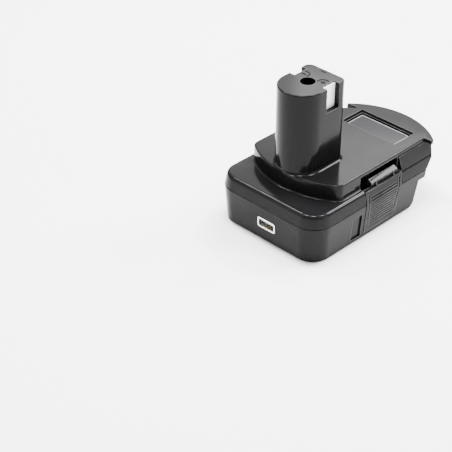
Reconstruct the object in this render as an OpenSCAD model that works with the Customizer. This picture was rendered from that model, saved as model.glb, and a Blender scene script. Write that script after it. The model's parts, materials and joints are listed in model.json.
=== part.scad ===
// Tool battery adapter: a two-part housing that slides onto a battery pack and carries a plug-in stem.
// Millimetres. +X is the right-hand latch, -Y the face with the charging port, +Z up; the base is at z = 0.

/* [Body] */
// Width over the parting line
body_w = 82; // [78:0.5:90]
// Length from the front face to the rear cap
body_l = 121; // [116:0.5:132]
// Height of the parting line above the base
seam_z = 24.4; // [23.5:0.1:27]
// Height of the band between the parting line and the front ledge
band_h = 8.4; // [7.5:0.1:10]
// Height of the deck above the front ledge
deck_h = 10.5; // [9.5:0.1:13]
// How far the walls lean in from the parting line to the base, and to the ledge
draft = 1.8; // [1:0.1:2.2]
// Wall of both shells
wall = 2.2; // [1.8:0.1:2.6]
// Radius of the upright front corners
front_r = 14; // [11:0.5:16]
// Radius of the upright corner where the rear arc meets the right side
rear_r = 4; // [3:0.5:6]
// Radius of the rear arc, which leaves the left side without a corner
rear_arc_r = 49; // [47:0.1:52]
// Radius of the rounded edge of the front ledge
ledge_r = 2; // [1:0.1:2.5]
// Chamfer of both shells along the parting line
seam_gap = 0.4; // [0.2:0.05:0.6]
// Chamfer round the base
base_edge = 0.8; // [0.4:0.1:1.2]
// Where the lower shell ends, from the front face
low_l = 94.8; // [93:0.2:98]
// Radius of the lower shell's rear foot
low_r = 6; // [4:0.5:8]
// Height of the step under the rear cap
step_z = 18.8; // [17:0.2:20]
// Depth of the step under the rear cap
step_d = 8; // [6:0.5:9]
// Run and rise of the slope under the rear cap
cap_slope = 5.8; // [4:0.2:7]

/* [Deck] */
// Set-back of the raised deck from the sides
deck_side = 5.7; // [5:0.1:6.5]
// Radius of the deck's front edge
deck_arc_r = 57.6; // [52:0.5:70]
// Radius of the deck's two front corners
deck_r = 6; // [3:0.5:8]
// Radius of the rounded upper edges of the deck and the rear cap
deck_edge = 0.9; // [0.4:0.1:1.2]
// Radius of the fillet at the deck's foot
deck_foot = 1.2; // [0.6:0.1:1.6]
// Length of the rear cap, which has the full width
cap_l = 15; // [13:0.5:17]
// Width of the label recess
recess_w = 42; // [34:0.5:46]
// Length of the label recess
recess_l = 19.2; // [14:0.2:20]
// Depth of the label recess
recess_d = 2.6; // [2:0.1:3]
// Offset of the label recess to the right
recess_x = 6.2; // [4:0.2:7]
// Width of the step half-way down the label recess
recess_step = 1.2; // [0.6:0.1:2]
// Gap between the label recess and the rear cap's step
recess_back = 0; // [0:0.1:3]

/* [Stem] */
// Width of the stem
stem_w = 30; // [28:0.2:32]
// Length of the stem, front to rear
stem_l = 37.4; // [35:0.2:40]
// Height of the stem above the deck
stem_h = 53; // [50:0.5:60]
// Set-back of the stem from the front face
stem_back = 15.8; // [15:0.1:18]
// Radius of the stem's rear corners
stem_r = 4.5; // [3:0.5:6]
// Radius of the fillet at the stem's foot
stem_foot = 1.8; // [1:0.1:2.4]
// Radius of the rounded edge of the stem's top
stem_edge = 0.8; // [0.4:0.1:1.2]
// Length of a contact slot
slot_l = 10.8; // [9:0.2:12]
// Height of a contact slot
slot_h = 15.7; // [13:0.2:18]
// Depth of a contact slot
slot_d = 3.4; // [2.6:0.1:3.8]
// Distance from a contact slot to the stem's rear face
slot_back = 6.9; // [6.5:0.1:8]
// Diameter of the screw well in the stem's top
well_d = 9.4; // [8:0.1:9.8]
// Depth of the screw well
well_h = 24; // [20:0.5:27]
// Distance from the stem's front to the well's axis
well_back = 19.4; // [18:0.1:20]

/* [Contacts] */
// Thickness of the stem's contact plates
contact_t = 1; // [0.8:0.1:1.2]
// Width of a contact's tail
tail_w = 5; // [4:0.2:6]
// Height of the contact carrier
carrier_h = 8; // [6:0.5:10]

/* [Latches] */
// Depth of a latch bay from the side of the parting line
bay_d = 10.5; // [10:0.1:11]
// Length of a latch pad along its top edge
pad_l = 33.6; // [31:0.2:35]
// Set-back of the pads from the front face
pad_back = 46; // [44:0.2:47.5]
// Height of the pad's lower edge
pad_z = 3.8; // [3.6:0.1:5]
// How far the pad's rear edge leans forward on its way down
pad_lean = 4; // [2:0.2:6]
// Radius of the pad's lower rear corner
pad_r = 4.5; // [3:0.5:6]
// Thickness of a pad
pad_t = 2.8; // [2.4:0.1:3.2]
// How far the pad stands proud of the shell
pad_proud = 0.4; // [0.2:0.1:0.8]
// Number of grip ribs on a pad
rib_count = 11; // [8:1:13]
// Height of a grip rib
rib_h = 0.45; // [0.3:0.05:0.6]
// Length of the hook bar
hook_l = 24; // [20:0.5:26]
// Thickness of the hook bar
hook_t = 3; // [2.5:0.1:3.4]
// Height of the hook bar above the ledge
hook_h = 4; // [3:0.1:5]
// Slope across the top of the hook bar
hook_ramp = 1.6; // [0.8:0.1:2]
// Depth of the groove round the grip ribs
frame_groove = 0.5; // [0.3:0.05:0.7]
// Inward swing of a latch, in degrees
latch_swing = 7.5; // [5:0.5:8]
// Diameter of the hinge pins
pin_d = 2.5; // [2:0.1:3]
// Height of the hinge axis
pivot_z = 7; // [6.6:0.1:7.6]
// Outer diameter of the latch springs
spring_d = 6; // [5:0.2:7]
// Wire of the latch springs
spring_wire = 0.6; // [0.5:0.05:0.8]
// Turns of the latch springs
spring_turns = 4; // [3:0.5:5]

/* [Battery channel] */
// Reach of the lips over the channel's sides
lip_reach = 4.5; // [3.5:0.1:6]
// Thickness of the lips
lip_h = 3; // [2.6:0.1:4]
// Height of the channel's roof
channel_h = 14; // [12.5:0.1:14.5]
// Distance from the front face to the channel's blind end
channel_back = 24.5; // [24:0.1:26]
// Thickness of the blades
blade_t = 0.8; // [0.6:0.1:1]
// Spread of the two blades
blade_spread = 18; // [14:0.5:22]
// Reach of the blades behind their block
blade_l = 14; // [10:0.5:18]

/* [Charging port] */
// Width of the port's shell
usb_w = 13.1; // [12.6:0.1:14]
// Height of the port's shell
usb_h = 5.7; // [5.4:0.1:6.2]
// Depth of the port's shell
usb_l = 14; // [12:0.5:15]
// Sheet of the port's shell
usb_t = 0.35; // [0.3:0.05:0.45]
// Offset of the port from the middle
usb_x = 2; // [-3:0.5:3]
// Height of the board's underside
board_z = 8.8; // [8:0.1:9.2]
// Thickness of the board
board_t = 1.6; // [1.2:0.1:2]
// Width of the board
board_w = 36; // [34:0.5:40]

/* [Fits] */
// Running clearance round a hinge pin, on the radius
pin_play = 0.05; // [0.03:0.01:0.1]
// Clearance round a piece that drops into a pocket
slip = 0.2; // [0.15:0.05:0.3]
// Gap round a latch pad
pad_gap = 0.45; // [0.4:0.05:0.7]
// Nominal diameter of the screws
screw_d = 2.9; // [2.5:0.1:3.2]
// Diameter of the screw heads
head_d = 5.8; // [5:0.1:6.2]

/* [Hidden] */
$fn = 64;
eps = 0.01;
big = 300;

// Housing
front_y = -body_l / 2;
rear_y = body_l / 2;
half_w = body_w / 2;
ledge_z = seam_z + band_h;
deck_z = ledge_z + deck_h;
top_z = deck_z + stem_h;
low_y = front_y + low_l;
step_y = low_y + step_d;
cap_y = rear_y - cap_l;
rear_x = rear_arc_r - half_w;
rear_arc_y = rear_y - rear_arc_r;
step_lean = 0.7;
slope_y = step_y + step_lean + cap_slope;
slope_z = seam_z + cap_slope;
cap_rise = 1.6;
foot_lean = 1.9;
least_r = 0.5;
patch_d = 1;
patch_l = 8.5;
patch_gap = 2.5;
patch_z0 = 3;
patch_z1 = 19;

// Deck and shoulders
deck_half = half_w - deck_side;
deck_front_y = front_y + stem_back - 0.3;
shoulder_lap = 0.4;
shoulder_drop = 2.6;
shoulder_edge = 0.6;
recess_y1 = cap_y - recess_back;
recess_y0 = recess_y1 - recess_l;

// Stem
stem_y = front_y + stem_back + stem_w / 2;
stem_rear_y = front_y + stem_back + stem_l;
slot_y0 = stem_rear_y - slot_back - slot_l;
slot_y1 = stem_rear_y - slot_back;
slot_mid_y = (slot_y0 + slot_y1) / 2;
slot_floor_x = stem_w / 2 - slot_d;
slot_wall = 1.6;
well_y = front_y + stem_back + well_back;
well_wall = 1.8;
well_floor = 2;
tail_gap = 1;
tail_l = 21;
tail_x = slot_floor_x - contact_t - slot_wall - tail_gap;
tail_end_z = top_z - slot_h - tail_l;
carrier_top_z = top_z - well_h - well_floor;

// Latches
pad_y0 = front_y + pad_back;
pad_y1 = pad_y0 + pad_l;
pad_top_z = ledge_z - 0.4;
pad_margin = 2;
groove_w = 0.7;
rib_margin = 5;
rib_side = 4;
rib_w = 1;
hook_y0 = pad_y0 + (pad_l - hook_l) / 2 + 2.2;
hook_x1 = half_w - draft - 1.2;
hook_x0 = hook_x1 - hook_t;
hook_root = 3;
hook_top_z = ledge_z + hook_h;
gusset_t = 0.8;
gusset_w = 1.3;
gusset_in = 4;
bay_rib = 1.8;
bay_y0 = pad_y0 - pad_gap;
bay_y1 = pad_y1 + pad_gap;
bay_x = half_w - bay_d;
pivot_in = 7.3;
pivot_x = half_w - pivot_in;
knuckle_d = pin_d + 3;
knuckle_l = 16;
lug_t = 3.4;
lug_gap = 0.3;
spring_play = 0.3;
spring_z = pad_top_z - hook_root - spring_d / 2 - spring_play;
spring_y = (pad_y0 + pad_y1) / 2;
spigot_l = 2;
stop_gap = 0.15;
stop_h = 4;
stop_x = pivot_x + (hook_x0 - pivot_x) * cos(latch_swing) - (hook_top_z - pivot_z) * sin(latch_swing) - stop_gap;

// Battery channel
bay_gap = 0.3;
channel_half = bay_x - wall - bay_gap;
lip_half = channel_half - lip_reach;
channel_y = front_y + channel_back;
roof_z = channel_h + wall;
block_l = 10.6;
block_w = 32;
block_y0 = channel_y + 0.4;
block_y1 = block_y0 + block_l;
flange = 2;
flange_lap = 2.5;
flange_z = roof_z + flange;
blade_z0 = 6;
blade_top_z = 12.5;
blade_tip = 1.5;
blade_tail_l = 5;
blade_tail_z = flange_z + 3.8;

// Charging port and its board
port_face_y = front_y + 0.5;
usb_z = board_z + board_t;
board_y0 = front_y + wall + 1.2;
board_y1 = channel_y - wall - 0.8;
board_top = board_z + board_t;
board_inset = 3;
post_d = 4.4;
usb_back_y = port_face_y + usb_l;
tongue_t = 1.9;
tongue_gap = 0.5;
tongue_back = 3;
pin_strip_t = 0.3;
pin_pitch = 2.3;
pin_strip_w = 1;
choke_r = 4;
choke_h = 5;
choke_neck = 0.8;
choke_rim = 1.2;
choke_x = 6;
choke_y = 7;
can_d = 5;
can_h = 7.5;
can_x = 6.5;
can_y = 4;
can_pitch = 7;
chip_w = 5;
chip_h = 1.5;

// Screws
boss_d = 7.6;
head_seat_z = 8;
head_h = 2.2;
cross_l = 3.2;
cross_w = 0.7;
cross_d = 1.2;
screw_play = 0.05;
screw_tip_z = ledge_z - wall + 0.6;
screw_front = [half_w - 8, front_y + 12];
screw_rear = [bay_x + 2.7, bay_y1 + bay_rib + 5.6];
screw_spots = [for (s = [-1, 1]) for (p = [screw_front, screw_rear]) [s * p[0], p[1]]];

// Leads
lead_d = 2.2;
feed_d = 1.5;
lead_y = block_y1 - blade_tail_l / 2 - 0.2;
lead_rise = 4;
lead_bend = 10;
lead_drop = 5;
feed_z = blade_tail_z - 1.2;
feed_out = 3;
feed_over = 2;
feed_drop = 4;
feed_board_x = 13;
feed_board_y = board_y1 - 1.6;

// Points of an arc round a centre, from one angle to another
function arc(centre, r, a0, a1, n) = [for (i = [0:n]) let (a = a0 + (a1 - a0) * i / n) centre + r * [cos(a), sin(a)]];

// Outline of the housing seen from above, drawn in by an inset: two round front corners, a tighter one
// behind on the right, and the rear arc that runs out into the left side
function plan_points(inset) = let (
    corner_r = max(rear_r - inset, least_r),
    corner_x = half_w - inset - corner_r,
    corner_y = rear_arc_y + sqrt(pow(rear_arc_r - inset - corner_r, 2) - pow(corner_x - rear_x, 2)),
    turn = atan2(corner_y - rear_arc_y, corner_x - rear_x))
    concat(arc([front_r - half_w, front_y + front_r], front_r - inset, 180, 270, 10),
        arc([half_w - front_r, front_y + front_r], front_r - inset, 270, 360, 10),
        arc([corner_x, corner_y], corner_r, 0, turn, 6),
        arc([rear_x, rear_arc_y], rear_arc_r - inset, turn, 180, 24));

// Outline of the deck seen from above: curved front, two round corners, sides that follow the housing
function deck_points(inset) = let (
    arc_y = deck_front_y + deck_arc_r,
    corner_x = deck_half - deck_r,
    corner_y = arc_y - sqrt(pow(deck_arc_r - deck_r, 2) - pow(corner_x, 2)),
    turn = atan2(corner_y - arc_y, corner_x),
    rear_turn = 180 - asin((cap_y + 1 - rear_arc_y) / (rear_arc_r - deck_side - inset)))
    concat(arc([-corner_x, corner_y], deck_r - inset, 180, 180 - turn, 6),
        arc([0, arc_y], deck_arc_r - inset, 180 - turn, 360 + turn, 16),
        arc([corner_x, corner_y], deck_r - inset, 360 + turn, 360, 6),
        [[deck_half - inset, cap_y + 1]],
        arc([rear_x, rear_arc_y], rear_arc_r - deck_side - inset, rear_turn, 180, 10));

// Outline of the stem seen from above: half a circle in front, two small round corners behind
function stem_points(inset) = concat(
    arc([0, stem_y], stem_w / 2 - inset, 180, 360, 24),
    arc([stem_w / 2 - stem_r, stem_rear_y - stem_r], max(stem_r - inset, 1), 0, 90, 6),
    arc([stem_r - stem_w / 2, stem_rear_y - stem_r], max(stem_r - inset, 1), 90, 180, 6));

// Steps up a rounded edge, as height below the top and inset from the wall
function round_over(r) = [for (a = [0:30:90]) [r * sin(a) - r, r * (1 - cos(a))]];

// Steps up a fillet, as height above the floor and inset from the wall
function fillet(r) = [for (a = [0:30:90]) [r * (1 - cos(a)), r * (sin(a) - 1)]];

// An outline lifted to a height
function lift(outline, z) = [for (p = outline) [p[0], p[1], z]];

function unit(v) = v / norm(v);

// Closed skin of triangles through rings that have as many points each
module skin(rings) {
    m = len(rings[0]);
    n = len(rings);
    sides = [for (i = [0:n - 2]) for (k = [0:m - 1]) let (a = i * m + k, b = i * m + (k + 1) % m)
        each [[a, a + m, b], [b, a + m, b + m]]];
    ends = [[for (k = [0:m - 1]) k], [for (k = [m - 1:-1:0]) (n - 1) * m + k]];
    polyhedron(points = [for (r = rings) each r], faces = concat(sides, ends));
}

// The housing's outline carried through a list of heights and insets
module plan_loft(levels) {
    skin([for (l = levels) lift(plan_points(l[1]), l[0])]);
}

// Extrudes an outline drawn in Y and Z across the whole width
module across(width) {
    rotate([90, 0, 90]) linear_extrude(width, center = true) children();
}

// Extrudes an outline drawn in X and Z between two places along Y
module along(y0, y1) {
    translate([0, y1, 0]) rotate([90, 0, 0]) linear_extrude(y1 - y0) children();
}

// Extrudes an outline drawn in Y and Z from one place along X
module along_x(x, thick) {
    translate([x, 0, 0]) rotate([90, 0, 90]) linear_extrude(thick) children();
}

// Box given by its two corners
module box(a, b) {
    translate(a) cube(b - a);
}

// Both sides of what is drawn for the right side
module both_sides() {
    children();
    mirror([1, 0, 0]) children();
}

// Side outline of the housing: flat base, rounded foot, step and slanted underside of the rear cap
module side_outline() {
    polygon(concat(
        [[front_y - 1, 0]],
        [for (a = [-90:15:0]) [low_y - low_r + low_r * cos(a), low_r + low_r * sin(a)]],
        [[low_y + foot_lean, step_z], [step_y, step_z], [step_y + step_lean, seam_z], [slope_y, slope_z],
            [rear_y + 1, slope_z + cap_rise], [rear_y + 1, big], [front_y - 1, big]]));
}

// Side outline of the hollow inside the shells
module hollow_outline() {
    polygon([[front_y - 1, wall], [low_y - wall, wall], [low_y - wall, step_z + wall],
        [step_y - wall, step_z + wall], [step_y - wall, big], [front_y - 1, big]]);
}

// Pad outline drawn in Y and Z, grown by a gap: upright front, leaning rear, one round corner
module pad_outline(gap, z_top) {
    y0 = pad_y0 - gap;
    y1 = pad_y1 + gap;
    z0 = pad_z - gap;
    r = pad_r + gap;
    yc = y1 - pad_lean - r;
    polygon(concat([[y0, z_top], [y0, z0]],
        [for (a = [-90:15:0]) [yc + r * cos(a), z0 + r + r * sin(a)]],
        [[y1, z_top]]));
}

// Where the leaning side of the lower shell is at a height
function side_x(z) = half_w - draft * (seam_z - z) / seam_z;

// Hinge lugs and cross ribs of a latch bay in the lower shell, right side
module bay_frame() {
    for (y = [bay_y0 - bay_rib, bay_y1])
        box([bay_x - wall, y, base_edge], [side_x(0) - 0.5, y + bay_rib, seam_z]);
    for (y = [spring_y - knuckle_l / 2 - lug_gap - lug_t, spring_y + knuckle_l / 2 + lug_gap])
        difference() {
            box([bay_x - wall, y, wall - eps], [pivot_x + knuckle_d / 2, y + lug_t, pivot_z + knuckle_d / 2]);
            translate([pivot_x, y - 1, pivot_z]) rotate([-90, 0, 0])
                cylinder(d = pin_d + 2 * pin_play, h = lug_t + 2);
        }
}

// Shallow patch sunk into the side in front of a latch, right side
module side_patch() {
    y1 = bay_y0 - patch_gap;
    along(y1 - patch_l, y1) polygon([[side_x(patch_z0) - patch_d, patch_z0], [half_w + 1, patch_z0],
        [half_w + 1, patch_z1], [side_x(patch_z1) - patch_d, patch_z1]]);
}

module lower_shell() {
    color("dimgray") difference() {
        union() {
            difference() {
                intersection() {
                    plan_loft([[0, draft + base_edge], [base_edge, draft * (1 - base_edge / seam_z)],
                        [seam_z - seam_gap, draft * seam_gap / seam_z], [seam_z, seam_gap]]);
                    across(big) side_outline();
                }
                intersection() {
                    plan_loft([[0, wall + draft], [seam_z, wall], [seam_z + 1, wall]]);
                    across(big) hollow_outline();
                }
            }
            // Channel housing
            intersection() {
                box([-channel_half - wall, channel_y - wall, eps], [channel_half + wall, low_y - wall / 2, roof_z]);
                across(big) side_outline();
            }
            both_sides() bay_frame();
            // Screw bosses
            for (p = screw_spots) translate([p[0], p[1], wall - eps]) cylinder(d = boss_d, h = seam_z - wall);
            // Board posts
            for (x = [-1, 1]) for (y = [board_y0 + board_inset, board_y1 - board_inset])
                translate([usb_x + x * (board_w / 2 - board_inset), y, wall - eps])
                    cylinder(d = post_d, h = board_z - wall + eps);
        }
        // Battery channel, open at the rear and between its lips
        box([-channel_half, channel_y, lip_h], [channel_half, big, channel_h]);
        box([-lip_half, channel_y, -1], [lip_half, big, lip_h + 1]);
        // Window for the terminal block
        box([-block_w / 2 - slip, block_y0 - slip, channel_h - 1], [block_w / 2 + slip, block_y1 + slip, big]);
        // Latch windows and the patches in front of them
        both_sides() {
            translate([half_w + 2, 0, 0]) across(2 * (half_w + 2 - pivot_x - knuckle_d / 2 - 0.4))
                pad_outline(pad_gap, seam_z + 1);
            side_patch();
        }
        // Screw holes from below
        for (p = screw_spots) translate([p[0], p[1], 0]) {
            translate([0, 0, -1]) cylinder(d = head_d + 2 * slip, h = head_seat_z + 1);
            cylinder(d = screw_d + 2 * slip, h = big);
        }
        // Port window
        box([usb_x - usb_w / 2 - slip, front_y - 1, usb_z - slip],
            [usb_x + usb_w / 2 + slip, front_y + 2 * wall + 1, usb_z + usb_h + slip]);
    }
}

// Pocket of a latch in the upper cover, right side: room for the pad, the hook and its stroke
module cover_bay_cut() {
    box([bay_x, bay_y0, seam_z - 1], [half_w + 1, bay_y1, deck_z - wall]);
}

// Walls that close a latch pocket off from the inside of the cover, right side
module cover_bay_walls() {
    box([bay_x - wall, bay_y0 - bay_rib, seam_z], [deck_half - 0.5, bay_y1 + bay_rib, deck_z - wall / 2]);
    for (y = [bay_y0 - bay_rib, bay_y1])
        box([bay_x - wall, y, seam_z], [half_w - draft - 0.6, y + bay_rib, ledge_z - ledge_r]);
}

// Two pads on the pocket's inner wall that stop a latch at the end of its swing, right side
module latch_stops() {
    for (y = [hook_y0 + hook_l * 0.2, hook_y0 + hook_l * 0.8])
        box([bay_x - eps, y - 1, hook_top_z - stop_h], [stop_x, y + 1, hook_top_z + eps]);
}

// Heights and insets of the side band, up to its rounded upper edge
band_levels = concat([[seam_z, seam_gap], [seam_z + seam_gap, draft * seam_gap / band_h]],
    [for (e = round_over(ledge_r)) [ledge_z + e[0], draft * (1 + e[0] / band_h) + e[1]]]);

// Inset of the leaning shoulders at their foot, and the height where they leave the band's rounded edge
shoulder_inset = draft + shoulder_lap;
shoulder_foot = lookup(shoulder_inset, [for (i = [2 : len(band_levels) - 1]) [band_levels[i][1], band_levels[i][0]]]);

// Heights and insets of the shoulders beside the deck
shoulder_levels = [[ledge_z - ledge_r, shoulder_inset], [ledge_z, shoulder_inset],
    [deck_z - shoulder_drop, deck_side - shoulder_edge]];

// Right side of the rear, drawn in X and Z: band and shoulder, and the cap that overhangs them
module rear_profile()
    polygon(concat([[-big, seam_z]],
        [for (l = band_levels) if (l[1] < shoulder_inset) [half_w - l[1], l[0]]],
        [[half_w - shoulder_inset, shoulder_foot]],
        [for (i = [1 : len(shoulder_levels) - 1]) [half_w - shoulder_levels[i][1], shoulder_levels[i][0]]],
        [[big, deck_z - shoulder_drop], [big, big], [-big, big]]));

// Outer form of the upper cover: side band, shoulders, deck and rear cap
module cover_form() {
    intersection() {
        union() {
            intersection() {
                plan_loft(band_levels);
                box([-big, -big, seam_z], [big, cap_y + 1, big]);
            }
            intersection() {
                plan_loft(shoulder_levels);
                box([-big, bay_y1 + bay_rib / 2, seam_z], [big, cap_y + 1, big]);
            }
            skin(concat([lift(deck_points(-deck_foot), ledge_z - 1)],
                [for (e = fillet(deck_foot)) lift(deck_points(e[1]), ledge_z + e[0])],
                [for (e = round_over(deck_edge)) lift(deck_points(e[1]), deck_z + e[0])]));
            intersection() {
                plan_loft(concat([[seam_z, seam_gap], [seam_z + seam_gap, 0]],
                    [for (e = round_over(deck_edge)) [deck_z + e[0], e[1]]]));
                along(cap_y, rear_y + 1) rear_profile();
            }
        }
        across(big) side_outline();
    }
}

module upper_cover() {
    color("dimgray") difference() {
        union() {
            difference() {
                cover_form();
                // Hollow inside
                intersection() {
                    plan_loft([[seam_z - 1, wall], [seam_z, wall], [ledge_z - wall, wall + draft]]);
                    across(big) hollow_outline();
                }
                intersection() {
                    translate([0, 0, seam_z]) linear_extrude(deck_z - wall - seam_z) polygon(deck_points(wall));
                    across(big) hollow_outline();
                }
            }
            // Floor under the label recess
            box([recess_x - recess_w / 2 - wall, recess_y0 - wall, deck_z - recess_d - wall],
                [recess_x + recess_w / 2 + wall, cap_y + 1, deck_z - wall / 2]);
            both_sides() cover_bay_walls();
            // Screw bosses
            for (p = screw_spots) translate([p[0], p[1], seam_z]) cylinder(d = boss_d, h = band_h - wall);
            // Stem
            difference() {
                intersection() {
                    skin(concat([lift(stem_points(-stem_foot), deck_z - wall)],
                        [for (e = fillet(stem_foot)) lift(stem_points(e[1]), deck_z + e[0])],
                        [for (e = round_over(stem_edge)) lift(stem_points(e[1]), top_z + e[0])]));
                    linear_extrude(top_z + 1) polygon(deck_points(0));
                }
                translate([0, 0, deck_z - wall - 1]) linear_extrude(stem_h + 1) polygon(stem_points(wall));
            }
            translate([0, well_y, carrier_top_z])
                cylinder(d = well_d + 2 * well_wall, h = top_z - 1 - carrier_top_z);
            both_sides() box([slot_floor_x - contact_t - slot_wall, slot_y0 - slot_wall, top_z - slot_h - slot_wall],
                [stem_w / 2 - 0.5, slot_y1 + slot_wall, top_z - stem_edge]);
        }
        // Stem's hollow runs down into the housing
        translate([0, 0, deck_z - wall - 1]) linear_extrude(wall + 2) polygon(stem_points(wall));
        // Screw well
        translate([0, well_y, carrier_top_z + well_floor]) cylinder(d = well_d, h = big);
        translate([0, well_y, carrier_top_z - 1]) cylinder(d = screw_d + 2 * slip, h = big);
        // Contact slots, open at the top, with slits for the tails
        both_sides() {
            box([slot_floor_x - contact_t, slot_y0, top_z - slot_h], [stem_w, slot_y1, big]);
            box([0, slot_mid_y - tail_w / 2 - slip, top_z - slot_h], [slot_floor_x, slot_mid_y + tail_w / 2 + slip,
                top_z - slot_h + contact_t + 2 * slip]);
        }
        // Label recess, with a step half-way down
        box([recess_x - recess_w / 2, recess_y0, deck_z - recess_d / 2],
            [recess_x + recess_w / 2, recess_y1, big]);
        box([recess_x - recess_w / 2 + recess_step, recess_y0 + recess_step, deck_z - recess_d],
            [recess_x + recess_w / 2 - recess_step, recess_y1 - recess_step, big]);
        both_sides() difference() {
            cover_bay_cut();
            latch_stops();
        }
        // Pilot holes
        for (p = screw_spots) translate([p[0], p[1], seam_z - 1])
            cylinder(d = screw_d + 2 * screw_play, h = screw_tip_z + 0.4 - seam_z + 1);
    }
}

module contact_carrier() {
    color("black") difference() {
        translate([0, 0, carrier_top_z - carrier_h]) linear_extrude(carrier_h) polygon(stem_points(wall + slip));
        translate([0, well_y, 0]) cylinder(d = screw_d + 2 * screw_play, h = big);
        both_sides() box([tail_x - slip, slot_mid_y - tail_w / 2 - slip, 0],
            [tail_x + contact_t + slip, slot_mid_y + tail_w / 2 + slip, big]);
    }
}

// Contact plate in the right-hand slot, with a tab through the wall and a tail to its lead
module contact() {
    color("silver") {
        box([slot_floor_x - contact_t, slot_y0 + slip, top_z - slot_h],
            [slot_floor_x, slot_y1 - slip, top_z - stem_edge]);
        box([tail_x, slot_mid_y - tail_w / 2, top_z - slot_h],
            [slot_floor_x, slot_mid_y + tail_w / 2, top_z - slot_h + contact_t]);
        box([tail_x, slot_mid_y - tail_w / 2, tail_end_z],
            [tail_x + contact_t, slot_mid_y + tail_w / 2, top_z - slot_h + contact_t]);
    }
}

module contact_right() {
    contact();
}

module contact_left() {
    mirror([1, 0, 0]) contact();
}

// Pan-head screw with a cross recess, head up, seated at the origin
module screw(length) {
    difference() {
        union() {
            cylinder(d = head_d, h = head_h);
            translate([0, 0, -length]) cylinder(d = screw_d, h = length + eps);
        }
        for (a = [0, 90]) rotate(a) box([-cross_l / 2, -cross_w / 2, head_h - cross_d],
            [cross_l / 2, cross_w / 2, head_h + 1]);
    }
}

module stem_screw() {
    color("gray") translate([0, well_y, carrier_top_z + well_floor]) screw(well_floor + carrier_h);
}

module housing_screws() {
    color("gray") for (p = screw_spots) translate([p[0], p[1], head_seat_z]) mirror([0, 0, 1])
        screw(screw_tip_z - head_seat_z);
}

// Points up the outside of a pad, moved out by a distance: they follow the two drafts of the shells
function pad_skin(out) = [[side_x(pad_z) + pad_proud + out, pad_z], [half_w + pad_proud + out, seam_z],
    [half_w - draft + pad_proud + out, pad_top_z]];

// Layer of a pad in X and Z between two distances from its outside
module pad_layer(inner, outer) {
    up = pad_skin(outer);
    down = pad_skin(inner);
    polygon([up[0], up[1], up[2], down[2], down[1], down[0]]);
}

// Groove in a pad's face round the sides and the bottom of its grip ribs
module pad_groove() {
    intersection() {
        along(pad_y0, pad_y1) pad_layer(-frame_groove, 1);
        across(big) difference() {
            pad_outline(-pad_margin, pad_top_z - pad_margin);
            pad_outline(-pad_margin - groove_w, pad_top_z);
        }
    }
}

// Squeeze latch of the right side: ribbed pad, hook bar above it and hinge knuckle below
module latch() {
    rib_pitch = (pad_top_z - pad_z - 2 * rib_margin) / (rib_count - 1);
    color("dimgray") difference() {
        union() {
            intersection() {
                along(pad_y0 - 1, pad_y1 + 1) pad_layer(-pad_t, 0);
                across(big) pad_outline(0, pad_top_z);
            }
            // Hook bar with a sloping top, carried by the pad's upper edge
            along(hook_y0, hook_y0 + hook_l) polygon([[hook_x0, pad_top_z - hook_root],
                [hook_x1, pad_top_z - hook_root], [hook_x1, hook_top_z - hook_ramp],
                [hook_x0 + hook_t / 4, hook_top_z], [hook_x0, hook_top_z]]);
            // Gussets between the hook bar and the pad's upper edge
            for (y = [hook_y0 + gusset_in, hook_y0 + hook_l - gusset_in])
                along(y - gusset_t / 2, y + gusset_t / 2) polygon([[hook_x1 - eps, pad_top_z - eps],
                    [hook_x1 + gusset_w, pad_top_z - eps], [hook_x1 - eps, hook_top_z - hook_ramp]]);
            // Web and knuckle
            box([pivot_x, spring_y - knuckle_l / 2, pivot_z - knuckle_d / 2 + 0.6],
                [side_x(0) - 0.6, spring_y + knuckle_l / 2, pivot_z + knuckle_d / 2 - 0.6]);
            translate([pivot_x, spring_y - knuckle_l / 2, pivot_z]) rotate([-90, 0, 0])
                cylinder(d = knuckle_d, h = knuckle_l);
            // Spring spigot
            translate([half_w + pad_proud - pad_t - spigot_l, spring_y, spring_z]) rotate([0, 90, 0])
                cylinder(d = spring_d - 2 * spring_wire - 2 * spring_play, h = spigot_l);
        }
        translate([pivot_x, spring_y - knuckle_l / 2 - 1, pivot_z]) rotate([-90, 0, 0])
            cylinder(d = pin_d + 2 * pin_play, h = knuckle_l + 2);
        // Grooves between the grip ribs
        for (i = [0:rib_count - 1]) {
            z = pad_z + rib_margin + i * rib_pitch;
            x = pad_proud + (z < seam_z ? side_x(z) : half_w - draft * (z - seam_z) / band_h);
            lean = pad_lean * (1 - (z - pad_z) / (pad_top_z - pad_z));
            box([x - rib_h, pad_y0 + rib_side, z - rib_w / 2],
                [half_w + 2, pad_y1 - rib_side - lean, z + rib_w / 2]);
        }
        pad_groove();
    }
}

module latch_right() {
    latch();
}

module latch_left() {
    mirror([1, 0, 0]) latch();
}

module latch_pin() {
    color("silver") translate([pivot_x, spring_y - knuckle_l / 2 - lug_gap - lug_t, pivot_z]) rotate([-90, 0, 0])
        cylinder(d = pin_d, h = knuckle_l + 2 * (lug_gap + lug_t));
}

module latch_pin_right() {
    latch_pin();
}

module latch_pin_left() {
    mirror([1, 0, 0]) latch_pin();
}

// Tube along a list of points; its rings start on the side that is square to the path and to a fixed direction
module tube(path, radius, sides, square_to) {
    n = len(path);
    skin([for (i = [0:n - 1]) let (
        d = unit(path[min(i + 1, n - 1)] - path[max(i - 1, 0)]),
        u = unit(cross(d, square_to)),
        v = cross(d, u))
        [for (k = [0:sides - 1]) path[i] + radius * (cos(360 * k / sides) * u + sin(360 * k / sides) * v)]]);
}

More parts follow.
